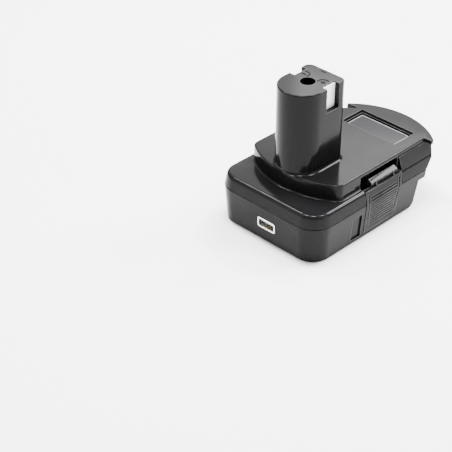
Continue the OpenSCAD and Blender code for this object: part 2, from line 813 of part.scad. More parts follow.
// Smooth curve through hand-picked points (Catmull-Rom)
function spline(p, steps) = concat([for (i = [0:len(p) - 2]) for (s = [0:steps - 1]) let (t = s / steps,
    a = p[max(i - 1, 0)], b = p[i], c = p[i + 1], d = p[min(i + 2, len(p) - 1)])
    0.5 * (2 * b + (c - a) * t + (2 * a - 5 * b + 4 * c - d) * t * t + (3 * b - a - 3 * c + d) * t * t * t)],
    [p[len(p) - 1]]);

// Coil spring between the inner wall of the bay and the pad, right side
module latch_spring() {
    x0 = bay_x + spring_wire / 2;
    top_x = half_w + pad_proud - draft * (spring_z + spring_d / 2 - seam_z) / band_h - pad_t;
    x1 = top_x - spring_play - spring_wire / 2;
    steps = 10;
    r = (spring_d - spring_wire) / 2;
    color("silver") tube([for (i = [0:spring_turns * steps]) let (a = 360 * i / steps)
        [x0 + (x1 - x0) * i / (spring_turns * steps), spring_y + r * cos(a), spring_z + r * sin(a)]],
        spring_wire / 2, 6, [1, 0, 0]);
}

module latch_spring_right() {
    latch_spring();
}

module latch_spring_left() {
    mirror([1, 0, 0]) latch_spring();
}

module terminal_block() {
    slit = blade_t + slip;
    color("black") difference() {
        union() {
            box([-block_w / 2, block_y0, blade_z0 - 1], [block_w / 2, block_y1, flange_z]);
            box([-block_w / 2 - flange_lap, block_y0 - flange, roof_z],
                [block_w / 2 + flange_lap, block_y1 + flange, flange_z]);
        }
        for (s = [-1, 1]) translate([s * blade_spread / 2 - slit / 2, block_y1 - blade_tail_l - slip / 2, 0]) {
            box([0, 0, blade_z0 - slip / 2], [slit, big, blade_top_z + slip / 2]);
            box([0, 0, blade_z0], [slit, blade_tail_l + slip - 0.4, big]);
        }
    }
}

// Blade of the right side: it reaches back into the channel and up through its block
module blade() {
    tail_y1 = block_y1 - 0.4;
    color("gold") along_x(blade_spread / 2 - blade_t / 2, blade_t) polygon([
        [block_y1 - blade_tail_l, blade_z0], [block_y1 + blade_l - blade_tip, blade_z0],
        [block_y1 + blade_l, blade_z0 + blade_tip], [block_y1 + blade_l, blade_top_z - blade_tip],
        [block_y1 + blade_l - blade_tip, blade_top_z], [tail_y1, blade_top_z],
        [tail_y1, blade_tail_z], [block_y1 - blade_tail_l, blade_tail_z]]);
}

module positive_blade() {
    blade();
}

module negative_blade() {
    mirror([1, 0, 0]) blade();
}

module usb_board() {
    color("darkgreen") box([usb_x - board_w / 2, board_y0, board_z], [usb_x + board_w / 2, board_y1, board_top]);
}

module usb_shell() {
    color("silver") difference() {
        box([usb_x - usb_w / 2, port_face_y, usb_z], [usb_x + usb_w / 2, usb_back_y, usb_z + usb_h]);
        box([usb_x - usb_w / 2 + usb_t, port_face_y - 1, usb_z + usb_t],
            [usb_x + usb_w / 2 - usb_t, usb_back_y - usb_t, usb_z + usb_h - usb_t]);
    }
}

// Height of the underside of the tongue in the port
function tongue_z() = usb_z + usb_h - usb_t - tongue_gap - tongue_t;

// Insulator of the port: a block at the back of the shell and a tongue in its upper half
module usb_tongue() {
    x = usb_w / 2 - usb_t;
    color("white") {
        box([usb_x - x, usb_back_y - usb_t - tongue_back, usb_z + usb_t],
            [usb_x + x, usb_back_y - usb_t, usb_z + usb_h - usb_t]);
        box([usb_x - x + 0.6, port_face_y + 1.6, tongue_z()],
            [usb_x + x - 0.6, usb_back_y - usb_t - tongue_back + 1, tongue_z() + tongue_t]);
    }
}

module usb_contacts() {
    color("gold") for (i = [-1.5:1:1.5]) translate([usb_x + pin_pitch * i - pin_strip_w / 2, 0, 0])
        box([0, port_face_y + 2.4, tongue_z() - pin_strip_t],
            [pin_strip_w, usb_back_y - usb_t - tongue_back, tongue_z()]);
}

// Choke with a drum core
module inductor() {
    neck_r = choke_r - choke_neck;
    half = [[choke_r, 0], [choke_r, choke_rim], [neck_r, choke_rim + choke_neck / 2]];
    color("black") translate([usb_x - board_w / 2 + choke_x, board_y1 - choke_y, board_top]) rotate_extrude()
        polygon(concat([[0, 0]], half, [for (i = [2, 1, 0]) [half[i][0], choke_h - half[i][1]]], [[0, choke_h]]));
}

module capacitors() {
    color("navy") for (y = [board_y0 + can_y, board_y0 + can_y + can_pitch])
        translate([usb_x + board_w / 2 - can_x, y, board_top]) cylinder(d = can_d, h = can_h);
}

module regulator_chip() {
    color("black") box([usb_x - chip_w / 2, usb_back_y + 0.8, board_top],
        [usb_x + chip_w / 2, board_y1 - 1, board_top + chip_h]);
}

// Lead of the right side: from the top of the blade's tail up the stem to the contact's tail
module lead() {
    x0 = blade_spread / 2;
    x1 = tail_x + contact_t / 2;
    tube(spline([[x0, lead_y, blade_tail_z], [x0, lead_y, blade_tail_z + lead_rise],
        [(3 * x0 + x1) / 4, (3 * lead_y + slot_mid_y) / 4, deck_z - lead_bend],
        [(x0 + x1) / 2, (lead_y + slot_mid_y) / 2, deck_z],
        [x1, slot_mid_y, tail_end_z - lead_drop], [x1, slot_mid_y, tail_end_z]], 4), lead_d / 2, 8, [0, 1, 0]);
}

// Feed of the right side: from the front of the blade's tail over the channel's end down to the board
module feed() {
    x0 = blade_spread / 2;
    y0 = block_y1 - blade_tail_l;
    tube(spline([[x0, y0, feed_z], [x0, y0 - feed_out, feed_z], [x0, channel_y - feed_over, feed_z],
        [feed_board_x, feed_board_y, feed_z - feed_drop], [feed_board_x, feed_board_y, board_top + feed_drop],
        [feed_board_x, feed_board_y, board_top]], 4), feed_d / 2, 8, [1, 0, 0]);
}

module wire_positive() {
    color("red") lead();
}

module wire_negative() {
    color("black") mirror([1, 0, 0]) lead();
}

module usb_wire_positive() {
    color("red") feed();
}

module usb_wire_negative() {
    color("black") mirror([1, 0, 0]) feed();
}

lower_shell();
upper_cover();
contact_carrier();
contact_left();
contact_right();
stem_screw();
latch_left();
latch_right();
latch_pin_left();
latch_pin_right();
latch_spring_left();
latch_spring_right();
terminal_block();
positive_blade();
negative_blade();
usb_board();
usb_shell();
usb_tongue();
usb_contacts();
inductor();
capacitors();
regulator_chip();
wire_positive();
wire_negative();
usb_wire_positive();
usb_wire_negative();
housing_screws();
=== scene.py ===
"""Looks of a tool battery adapter, laid out as an add-on and run as a script.

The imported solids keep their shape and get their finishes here. The surfaces made here are the coils of
the latch springs, the rolled rim of the port, the bare plate in the label recess and the raised signs on
the stem. The stage holds a pale floor, soft boxes and the camera.
"""
import json
from math import pi, radians, sin

import bmesh
import bpy
import numpy as np
from bpy.props import FloatProperty, FloatVectorProperty, PointerProperty
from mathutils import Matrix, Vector


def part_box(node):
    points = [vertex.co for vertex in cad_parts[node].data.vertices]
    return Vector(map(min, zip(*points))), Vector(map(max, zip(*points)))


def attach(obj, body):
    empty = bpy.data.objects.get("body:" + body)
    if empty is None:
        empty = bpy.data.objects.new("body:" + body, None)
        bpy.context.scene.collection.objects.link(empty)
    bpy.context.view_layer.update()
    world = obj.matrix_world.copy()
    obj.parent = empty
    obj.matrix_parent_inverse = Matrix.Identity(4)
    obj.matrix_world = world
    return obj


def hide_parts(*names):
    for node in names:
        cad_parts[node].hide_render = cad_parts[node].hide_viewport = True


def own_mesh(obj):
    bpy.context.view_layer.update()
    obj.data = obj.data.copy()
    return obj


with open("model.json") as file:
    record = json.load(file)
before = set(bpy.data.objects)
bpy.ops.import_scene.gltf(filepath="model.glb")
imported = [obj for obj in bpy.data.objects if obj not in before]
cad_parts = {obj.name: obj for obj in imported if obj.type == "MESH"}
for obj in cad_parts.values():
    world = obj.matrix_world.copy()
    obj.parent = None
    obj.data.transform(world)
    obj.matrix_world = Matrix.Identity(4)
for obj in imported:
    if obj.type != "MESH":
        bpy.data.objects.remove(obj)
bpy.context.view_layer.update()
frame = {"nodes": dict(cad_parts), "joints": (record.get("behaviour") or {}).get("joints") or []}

bl_info = {
    "name": "Tool battery adapter looks",
    "version": (1, 0, 0),
    "blender": (4, 5, 0),
    "location": "3D View > Sidebar > Adapter",
    "description": "Finishes, signs, rim, label plate, coils and stage of a tool battery adapter",
    "category": "Object",
}

MM = 0.001
HOUSING_BODY = "housing"
STEM_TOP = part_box("upper_cover")[1].z
PORT_LOW, PORT_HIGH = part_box("usb_shell")

# Reach within which the loose triangles of a solid are joined, and the points at the pole of a surface
WELD_REACH = 0.01 * MM
POLE_REACH = 0.0002 * MM
# Faces that meet at a smaller angle are shaded as one round face, and large faces lead at its borders
SOFT_ANGLE = radians(38)
FACE_LEAD = 90

# Specular level of every moulding, and coat weight of the polished ones
SHEEN = 0.045
LACQUER = 0.05
# Scales of noise, in waves per metre
CLOUD_SCALE = 55.0
DRIFT_SCALE = 16.0
STAIN_SCALE = 140.0
FLOOR_SCALE = 2.0
# Spans of noise or cover, each from the value with the low result to the value with the high one
WHOLE_SPAN = (0.0, 1.0)
DRIFT_SPAN = (0.3, 0.7)
POLISH_SPAN = (0.32, 0.68)
PATCH_SPAN = (0.34, 0.62)
STAIN_SPAN = (0.52, 0.75)
HIGHLIGHT_SPAN = (0.9, 0.55)
GROOVE_SPAN = (0.86, 0.5)
# How far the mask of the painted edge highlight and the mask of the grooves with painted shade look, in
# widths of a softened edge
HIGHLIGHT_REACH = 1.6
GROOVE_REACH = 4.0
# Roughness that the bottom of a groove has on top of the polish
GROOVE_DULLNESS = 0.7
# Colour sockets of the node that mixes two colours
MIX_FIRST, MIX_SECOND, MIX_RESULT = 6, 7, 2

# Bevel of the label plate, and rise of its border, as shares of the plate's thickness
PLATE_BEVEL = 1 / 3
BORDER_RISE = 1 / 4
# Steps round the section of a raised bar, and along the middle of a bent one
BAR_SIDES = 20
ARC_STEPS = 25
# Angles between which the arcs go round the plus and the minus
PLUS_ARC = (radians(60), radians(200))
MINUS_ARC = (radians(-20), radians(120))
# The second bar of the plus stays a little lower than the first, so that their tops don't coincide
CROSS_SHARE = 0.98

# The floor lies just below the base, so that the two don't coincide, and reaches this far each way
FLOOR_DROP = 0.05 * MM
FLOOR_REACH = 3.0
FLOOR_POINTS = 9
# Width of the camera's sensor in millimetres
SENSOR_WIDTH = 36.0
# Place that every soft box faces
LIGHT_TARGET = (0.0, 0.0, 0.05)
# Where small soft boxes hang overhead: each is mirrored by rounded edges that face another way
EDGE_BOX_SPOTS = ((-0.69, 0.0), (-0.30, -0.11), (0.0, 0.0), (0.18, 0.38), (0.02, 0.90))
EDGE_BOX_HEIGHT = 1.1
EDGE_BOX_SIZE = (0.2, 0.2)
EDGE_BOXES = [(f"edge_box_{number}", "edge_power", (*spot, EDGE_BOX_HEIGHT), EDGE_BOX_SIZE)
              for number, spot in enumerate(EDGE_BOX_SPOTS)]
# Soft boxes of the stage: the name, the setting with the power, the place and the size
SOFT_BOXES = [
    ("top_box", "top_power", (-0.05, 0.4, 1.2), (1.4, 1.5)),
    ("back_box", "back_power", (-0.9, 0.8, 0.85), (1.1, 0.7)),
    *EDGE_BOXES,
    ("rear_strip", "strip_power", (0.58, 1.1, 1.1), (0.45, 0.35)),
    ("key_box", "key_power", (-0.527, 0.813, 0.781), (0.37, 0.315)),
    ("side_box", "side_power", (1.1, 0.3, 0.5), (0.6, 0.6)),
    ("front_box", "front_power", (-0.6, -1.0, 0.8), (0.6, 0.6)),
]


# Settings

def colour_setting(name, description, default):
    """A colour that a user may change."""
    return FloatVectorProperty(name=name, description=description, subtype="COLOR", size=3, min=0.0,
                               max=1.0, default=default)


def place_setting(name, description, default):
    """A place in metres that a user may change."""
    return FloatVectorProperty(name=name, description=description, subtype="TRANSLATION", unit="LENGTH",
                               precision=5, default=default)


def length_setting(name, description, default):
    """A length in metres that a user may change."""
    return FloatProperty(name=name, description=description, unit="LENGTH", min=0.0, precision=5,
                         default=default)


def share_setting(name, description, default):
    """A share from nought to one that a user may change."""
    return FloatProperty(name=name, description=description, subtype="FACTOR", min=0.0, max=1.0,
                         default=default)


def power_setting(name, description, default):
    """The power of a light in watts that a user may change."""
    return FloatProperty(name=name, description=description, unit="POWER", min=0.0, default=default)


class FinishSettings(bpy.types.PropertyGroup):
    """Colours and surface of the mouldings and metals."""
    housing_colour: colour_setting("Housing colour", "Moulded shells", (0.0045, 0.0045, 0.0048))
    latch_colour: colour_setting("Latch colour", "Moulded squeeze latches", (0.0055, 0.0055, 0.0058))
    # The edge and rib colours are painted highlights, lightening the outer edges of the mouldings and the
    # ribs of the latches
    edge_highlight_colour: colour_setting("Edge colour", "Painted highlight on the outer edges of the mouldings", (0.105, 0.105, 0.107))
    rib_highlight_colour: colour_setting("Rib highlight colour", "Painted highlight on the ribs of the latches", (0.075, 0.075, 0.075))
    # The nickel colour is near white and the contacts are barely metallic, so their colour is partly the
    # plating and partly a painted bright reflection
    nickel_and_reflection_colour: colour_setting("Nickel and reflection colour", "Plated contacts of the stem", (0.97, 0.97, 0.96))
    port_colour: colour_setting("Port colour", "Drawn steel of the port", (0.80, 0.80, 0.81))
    gloss: share_setting("Gloss", "Roughness of the mouldings where they are smoothest", 0.10)
    matte: share_setting("Matte", "Roughness of the mouldings where they are dullest", 0.17)
    grain: length_setting("Grain", "Size of the grain on the mouldings", 0.5 * MM)
    edge_reach: length_setting("Edge reach", "Width of the softened edges", 0.3 * MM)
    rib_reach: length_setting("Rib reach", "Width of the softened edges on the latches", 0.45 * MM)


class LabelSettings(bpy.types.PropertyGroup):
    """Bare plate in the recess at the rear of the deck."""
    centre: place_setting("Centre", "Middle of the plate's underside", (6.2 * MM, 35.9 * MM, 40.7 * MM))
    width: length_setting("Width", "Width of the plate across the deck", 38.6 * MM)
    length: length_setting("Length", "Length of the plate along the deck", 15.8 * MM)
    corner: length_setting("Corner", "Radius of the plate's corners", 1.2 * MM)
    thickness: length_setting("Thickness", "Thickness of the plate", 0.3 * MM)
    border: length_setting("Border", "Width of the raised border", 0.7 * MM)


class SignSettings(bpy.types.PropertyGroup):
    """Raised plus, minus and dash on the stem's top."""
    plus_place: place_setting("Plus place", "Middle of the plus", (7.3 * MM, -20.2 * MM, STEM_TOP))
    minus_place: place_setting("Minus place", "Middle of the minus", (-7.6 * MM, -20.2 * MM, STEM_TOP))
    dash_place: place_setting("Dash place", "Middle of the dash", (-1.2 * MM, -10.2 * MM, STEM_TOP))
    reach: length_setting("Reach", "Length of the bars of the plus and the minus", 3.4 * MM)
    dash_reach: length_setting("Dash reach", "Length of the dash", 4.08 * MM)
    stroke: length_setting("Stroke", "Width of a bar", 0.8 * MM)
    rise: length_setting("Rise", "Height of a sign above the stem's top", 0.22 * MM)
    arc_radius: length_setting("Arc radius", "Radius of the arc round a sign", 3.4 * MM)


class RimSettings(bpy.types.PropertyGroup):
    """Rolled rim of the port."""
    width: length_setting("Width", "Width of the rim seen from the front", 1.0 * MM)
    depth: length_setting("Depth", "Depth of the rim from front to back", 0.7 * MM)
    corner: length_setting("Corner", "Radius of the rim's corners", 0.9 * MM)


class CoilSettings(bpy.types.PropertyGroup):
    """Coil springs behind the latches."""
    wire: length_setting("Wire", "Thickness of the spring wire", 0.6 * MM)
    turns: FloatProperty(name="Turns", description="Turns of a spring", min=1.0, max=12.0, default=4.0)
    closing: share_setting("Closing", "How far the end turns close up", 0.55)


class StageSettings(bpy.types.PropertyGroup):
    """Floor, light and camera."""
    floor_colour: colour_setting("Floor colour", "Pale floor", (0.90, 0.90, 0.90))
    sky: FloatProperty(name="Sky", description="Strength of the white surroundings", min=0.0, default=0.9)
    top_power: power_setting("Top light", "Large soft box overhead", 12.0)
    edge_power: power_setting("Edge lights", "Each of the small soft boxes that draw the edges", 16.0)
    strip_power: power_setting("Strip light", "Soft box behind on the right, for the hook bars", 34.0)
    back_power: power_setting("Back light", "Soft box behind on the left", 9.6)
    key_power: power_setting("Key light", "Small soft box that shines on the deck", 3.0)
    side_power: power_setting("Side light", "Soft box on the right", 6.0)
    front_power: power_setting("Front light", "Soft box in front on the left", 5.0)
    lens: FloatProperty(name="Lens", description="Focal length of the camera", unit="CAMERA", min=1.0,
                        default=106.4)
    camera_place: place_setting("Camera place", "Where the camera stands", (0.45017, -0.54190, 0.46469))
    camera_turn: FloatVectorProperty(name="Camera turn", description="How the camera is turned",
                                     subtype="EULER", unit="ROTATION",
                                     default=(radians(55.49), 0.0, radians(45.02)))


# Shader helpers

def add(tree, kind, **settings):
    """A node of one kind, with its own settings."""
    node = tree.nodes.new(kind)
    for name, value in settings.items():
        setattr(node, name, value)
    return node


def feed(tree, socket, source):
    """Links a socket to another one, or sets it where the source is a plain value."""
    if isinstance(source, bpy.types.NodeSocket):
        tree.links.new(source, socket)
    else:
        socket.default_value = source


def noise(tree, vector, scale, detail):
    """Smooth noise from nought to one."""
    node = add(tree, "ShaderNodeTexNoise")
    feed(tree, node.inputs["Vector"], vector)
    feed(tree, node.inputs["Scale"], scale)
    feed(tree, node.inputs["Detail"], detail)
    return node.outputs[0]


def remap(tree, value, span, low, high):
    """A value moved from a span to the one from low to high, and kept inside it."""
    node = add(tree, "ShaderNodeMapRange", clamp=True)
    sources = {"Value": value, "From Min": span[0], "From Max": span[1], "To Min": low, "To Max": high}
    for name, source in sources.items():
        feed(tree, node.inputs[name], source)
    return node.outputs["Result"]


def combine(tree, operation, first, second):
    """Arithmetic on two values."""
    node = add(tree, "ShaderNodeMath", operation=operation)
    feed(tree, node.inputs[0], first)
    feed(tree, node.inputs[1], second)
    return node.outputs[0]


def openness(tree, reach, **settings):
    """How open a point's surroundings are within a reach: one where nothing covers it."""
    node = add(tree, "ShaderNodeAmbientOcclusion", samples=8, **settings)
    feed(tree, node.inputs["Distance"], reach)
    return node.outputs["AO"]


def mix_colours(tree, factor, first, second):
    """The first colour, moved towards the second by a factor."""
    node = add(tree, "ShaderNodeMix", data_type="RGBA")
    feed(tree, node.inputs["Factor"], factor)
    feed(tree, node.inputs[MIX_FIRST], first)
    feed(tree, node.inputs[MIX_SECOND], second)
    return node.outputs[MIX_RESULT]


def tint(tree, colour, value):
    """A colour made lighter or darker by a value."""
    node = add(tree, "ShaderNodeVectorMath", operation="SCALE")
    feed(tree, node.inputs[0], colour)
    feed(tree, node.inputs["Scale"], value)
    return node.outputs[0]


def start_group(name, inputs, outputs):
    """An empty shader group with named sockets, and its two end nodes."""
    group = bpy.data.node_groups.new(name, "ShaderNodeTree")
    for label, kind in inputs:
        group.interface.new_socket(label, in_out="INPUT", socket_type=kind)
    for label, kind in outputs:
        group.interface.new_socket(label, in_out="OUTPUT", socket_type=kind)
    return group, add(group, "NodeGroupInput").outputs, add(group, "NodeGroupOutput").inputs


def shared_group(name, build):
    """The node group of that name, built the first time that it is asked for."""
    return bpy.data.node_groups.get(name) or build(name)


def build_moulded_skin(name):
    """Moulded plastic: fine grain, cloudy gloss, drifting tone, a painted highlight on outer edges, and
    painted shade with dull gloss in narrow grooves.

    The highlight mask is the cover found inside the piece, which is large at outer edges alone, and the
    groove mask is the cover found outside it, which is large in narrow grooves.
    """
    group, given, out = start_group(
        name,
        [("Colour", "NodeSocketColor"), ("Edge colour", "NodeSocketColor"), ("Grain", "NodeSocketFloat"),
         ("Gloss", "NodeSocketFloat"), ("Matte", "NodeSocketFloat"), ("Edge reach", "NodeSocketFloat"),
         ("Lacquer", "NodeSocketFloat")],
        [("Colour", "NodeSocketColor"), ("Roughness", "NodeSocketFloat"), ("Coat", "NodeSocketFloat"),
         ("Height", "NodeSocketFloat"), ("Normal", "NodeSocketVector")])
    place = add(group, "ShaderNodeTexCoord").outputs["Object"]
    grain = noise(group, place, scale=combine(group, "DIVIDE", 1.0, given["Grain"]), detail=4.0)
    cloud = noise(group, place, CLOUD_SCALE, detail=3.0)
    drift = noise(group, place, DRIFT_SCALE, detail=1.0)
    edge = add(group, "ShaderNodeBevel", samples=6)
    feed(group, edge.inputs["Radius"], given["Edge reach"])
    highlight_reach = combine(group, "MULTIPLY", given["Edge reach"], HIGHLIGHT_REACH)
    groove_reach = combine(group, "MULTIPLY", given["Edge reach"], GROOVE_REACH)
    inside = openness(group, highlight_reach, inside=True, only_local=True)
    outside = openness(group, groove_reach)
    # Painted highlight: outer edges are lightened towards the edge colour in cloudy patches
    outer_edge = remap(group, inside, HIGHLIGHT_SPAN, low=0.0, high=1.0)
    edge_highlight = combine(group, "MULTIPLY", outer_edge, remap(group, cloud, PATCH_SPAN, low=0.2, high=1.0))
    groove = remap(group, outside, GROOVE_SPAN, low=0.0, high=1.0)
    toned = tint(group, given["Colour"], remap(group, drift, DRIFT_SPAN, low=0.82, high=1.2))
    highlit = mix_colours(group, edge_highlight, toned, given["Edge colour"])
    # Painted shade: the colour falls to a quarter in narrow grooves, where shade would fall
    feed(group, out["Colour"], tint(group, highlit, remap(group, groove, WHOLE_SPAN, low=1.0, high=0.25)))
    polish = remap(group, cloud, POLISH_SPAN, given["Gloss"], given["Matte"])
    dullness = combine(group, "MULTIPLY", groove, GROOVE_DULLNESS)
    feed(group, out["Roughness"], combine(group, "ADD", polish, dullness))
    coated = remap(group, groove, WHOLE_SPAN, low=1.0, high=0.0)
    feed(group, out["Coat"], combine(group, "MULTIPLY", given["Lacquer"], coated))
    feed(group, out["Height"], grain)
    feed(group, out["Normal"], edge.outputs["Normal"])
    return group


def build_drawn_metal(name):
    """Drawn or plated metal: fine streaks along one direction, and stains that dull it in places."""
    group, given, out = start_group(
        name,
        [("Colour", "NodeSocketColor"), ("Stain", "NodeSocketColor"), ("Stretch", "NodeSocketVector"),
         ("Gloss", "NodeSocketFloat"), ("Matte", "NodeSocketFloat")],
        [("Colour", "NodeSocketColor"), ("Roughness", "NodeSocketFloat"), ("Height", "NodeSocketFloat")])
    place = add(group, "ShaderNodeTexCoord").outputs["Object"]
    along = add(group, "ShaderNodeVectorMath", operation="MULTIPLY")
    feed(group, along.inputs[0], place)
    feed(group, along.inputs[1], given["Stretch"])
    streak = noise(group, along.outputs[0], scale=1.0, detail=3.0)
    cloud = noise(group, place, STAIN_SCALE, detail=3.0)
    stained = remap(group, cloud, STAIN_SPAN, low=0.0, high=0.7)
    feed(group, out["Colour"], mix_colours(group, stained, given["Colour"], given["Stain"]))
    feed(group, out["Roughness"], remap(group, streak, DRIFT_SPAN, given["Gloss"], given["Matte"]))
    feed(group, out["Height"], streak)
    return group


def start_material(name):
    """An empty material, its node tree and its shader."""
    material = bpy.data.materials.new(name)
    material.use_nodes = True
    return material, material.node_tree, material.node_tree.nodes["Principled BSDF"]


def grouped_material(name, group, values, depth):
    """A material fed by a shader group with its own values, its shader and the group's node.

    The depth is the height of the bump, which stands on the group's normal where it puts one out.
    """
    material, tree, shader = start_material(name)
    skin = add(tree, "ShaderNodeGroup", node_tree=group)
    for label, value in values.items():
        skin.inputs[label].default_value = value
    bump = add(tree, "ShaderNodeBump")
    bump.inputs["Distance"].default_value = depth
    feed(tree, bump.inputs["Height"], skin.outputs["Height"])
    if "Normal" in skin.outputs:
        feed(tree, bump.inputs["Normal"], skin.outputs["Normal"])
    feed(tree, shader.inputs["Base Color"], skin.outputs["Colour"])
    feed(tree, shader.inputs["Roughness"], skin.outputs["Roughness"])
    feed(tree, shader.inputs["Normal"], bump.outputs["Normal"])
    return material, shader, skin


def opaque(colour):
    """A colour with its alpha."""
    return (*colour, 1.0)


def moulded(name, colour, edge_highlight_colour, gloss, matte, grain, edge_reach, depth=0.003 * MM, lacquer=0.0):
    """A moulded plastic finish; depth is the height of its grain, lacquer the weight of its polish, and the
    colour at its outer edges a painted highlight.
    """
    values = {"Colour": opaque(colour), "Edge colour": opaque(edge_highlight_colour), "Grain": grain,
              "Gloss": gloss, "Matte": matte, "Edge reach": edge_reach, "Lacquer": lacquer}
    group = shared_group("Moulded skin", build_moulded_skin)
    material, shader, skin = grouped_material(name, group, values, depth)
    if lacquer:
        feed(material.node_tree, shader.inputs["Coat Weight"], skin.outputs["Coat"])
        shader.inputs["Coat Roughness"].default_value = gloss
    shader.inputs["Specular IOR Level"].default_value = SHEEN
    return material


def drawn(name, colour, stain, stretch, gloss, matte, metallic=1.0, depth=0.004 * MM):
    """A metal finish with streaks along the axis of the least stretch; a lower metallic shows more of the
    colour itself, as on the contacts whose bright reflection is painted into it.
    """
    values = {"Colour": opaque(colour), "Stain": opaque(stain), "Stretch": stretch, "Gloss": gloss,
              "Matte": matte}
    group = shared_group("Drawn metal", build_drawn_metal)
    material, shader, _ = grouped_material(name, group, values, depth)
    shader.inputs["Metallic"].default_value = metallic
    return material


# Finishes of this object

# In every moulded finish the edge colour paints a highlight on the outer edges, and narrow grooves are
# darkened as painted shade
def housing_plastic(finish):
    """Semi-gloss black of the shells."""
    return moulded("housing_plastic", finish.housing_colour, finish.edge_highlight_colour, finish.gloss,
                   finish.matte, finish.grain, finish.edge_reach, lacquer=LACQUER)


def latch_plastic(finish):
    """Slightly lighter black of the squeeze latches."""
    return moulded("latch_plastic", finish.latch_colour, finish.rib_highlight_colour, finish.gloss, finish.matte,
                   finish.grain, finish.rib_reach, lacquer=LACQUER)


def sign_plastic(finish):
    """Dull black of the raised signs."""
    return moulded("sign_plastic", finish.housing_colour, finish.latch_colour, gloss=0.42, matte=0.55,
                   grain=finish.grain, edge_reach=finish.edge_reach)


def insulator_plastic(finish):
    """Dull dark moulding that holds the live parts."""
    return moulded("insulator_plastic", colour=(0.045, 0.045, 0.048), edge_highlight_colour=finish.edge_highlight_colour,
                   gloss=0.42, matte=0.58, grain=0.4 * MM, edge_reach=0.2 * MM)


def label_film():
    """Glossy dark film of the bare label."""
    return moulded("label_film", colour=(0.009, 0.009, 0.010), edge_highlight_colour=(0.22, 0.22, 0.22),
                   gloss=0.06, matte=0.10, grain=0.25 * MM, edge_reach=0.12 * MM, lacquer=LACQUER)


def label_border():
    """Lighter raised border of the label."""
    return moulded("label_border", colour=(0.11, 0.11, 0.11), edge_highlight_colour=(0.2, 0.2, 0.2),
                   gloss=0.30, matte=0.38, grain=0.25 * MM, edge_reach=0.1 * MM)


def nickel_plate(finish):
    """Plating of the contacts: near white and barely metallic, so its colour is partly the plating and
    partly a painted bright reflection.
    """
    return drawn("nickel_plate", finish.nickel_and_reflection_colour, stain=(0.80, 0.79, 0.76),
                 stretch=(2600.0, 2600.0, 90.0), gloss=0.22, matte=0.36, metallic=0.2)


def port_steel(finish):
    """Bright drawn steel of the port's shell and rim."""
    return drawn("port_steel", finish.port_colour, stain=(0.60, 0.60, 0.61),
                 stretch=(120.0, 2200.0, 2200.0), gloss=0.12, matte=0.24)


def zinc_steel(name):
    """Zinc-plated steel of screws, pins and springs."""
    return drawn(name, colour=(0.60, 0.60, 0.62), stain=(0.38, 0.37, 0.36),
                 stretch=(900.0, 900.0, 900.0), gloss=0.22, matte=0.38)


def blade_brass():
    """Brass of the blades."""
    return drawn("blade_brass", colour=(0.72, 0.54, 0.24), stain=(0.45, 0.30, 0.12),
                 stretch=(2200.0, 90.0, 2200.0), gloss=0.20, matte=0.34)


def gold_flash():
    """Gold flash on the port's contacts."""
    return drawn("gold_flash", colour=(0.90, 0.66, 0.26), stain=(0.70, 0.48, 0.18),
                 stretch=(1800.0, 120.0, 1800.0), gloss=0.14, matte=0.26)


def port_insulator():
    """White tongue of the port."""
    return moulded("port_insulator", colour=(0.62, 0.62, 0.60), edge_highlight_colour=(0.75, 0.75, 0.73),
                   gloss=0.34, matte=0.46, grain=0.3 * MM, edge_reach=0.1 * MM)


def board_resin():
    """Green mask of the board."""
    return moulded("board_resin", colour=(0.010, 0.085, 0.030), edge_highlight_colour=(0.25, 0.22, 0.08),
                   gloss=0.26, matte=0.40, grain=1.1 * MM, edge_reach=0.15 * MM)


def ferrite():
    """Dark sintered core of the coil on the board."""
    return moulded("ferrite", colour=(0.030, 0.030, 0.033), edge_highlight_colour=(0.09, 0.09, 0.09),
                   gloss=0.50, matte=0.68, grain=0.25 * MM, edge_reach=0.2 * MM, depth=0.02 * MM)


def capacitor_sleeve():
    """Dark blue sleeve of the capacitors."""
    return moulded("capacitor_sleeve", colour=(0.012, 0.022, 0.065), edge_highlight_colour=(0.30, 0.30, 0.32),
                   gloss=0.24, matte=0.36, grain=0.4 * MM, edge_reach=0.25 * MM)


def chip_resin():
    """Matt black resin of the regulator."""
    return moulded("chip_resin", colour=(0.016, 0.016, 0.017), edge_highlight_colour=(0.06, 0.06, 0.06),
                   gloss=0.50, matte=0.66, grain=0.12 * MM, edge_reach=0.1 * MM)


def lead_vinyl(name, colour, edge_highlight_colour):
    """Soft covering of a lead."""
    return moulded(name, colour, edge_highlight_colour, gloss=0.34, matte=0.48, grain=0.5 * MM, edge_reach=0.1 * MM)


def floor_paint(colour):
    """Pale matt paint of the floor, with a faint drift of tone."""
    material, tree, shader = start_material("floor_paint")
    place = add(tree, "ShaderNodeTexCoord").outputs["Object"]
    drift = noise(tree, place, FLOOR_SCALE, detail=2.0)
    toned = tint(tree, colour, remap(tree, drift, DRIFT_SPAN, low=0.98, high=1.02))
    feed(tree, shader.inputs["Base Color"], toned)
    feed(tree, shader.inputs["Roughness"], remap(tree, drift, DRIFT_SPAN, low=0.72, high=0.8))
    return material


# Mesh helpers

def grid_faces(rows, columns, rows_closed, columns_closed):
    """Quads between neighbouring rows and columns of a grid of points, as an array of point numbers."""
    row = np.arange(rows if rows_closed else rows - 1)[:, None]
    column = np.arange(columns if columns_closed else columns - 1)[None, :]
    next_row = (row + 1) % rows
    next_column = (column + 1) % columns
    corners = [row * columns + column, next_row * columns + column, next_row * columns + next_column,
               row * columns + next_column]
    return np.stack(np.broadcast_arrays(*corners), -1).reshape(-1, 4)


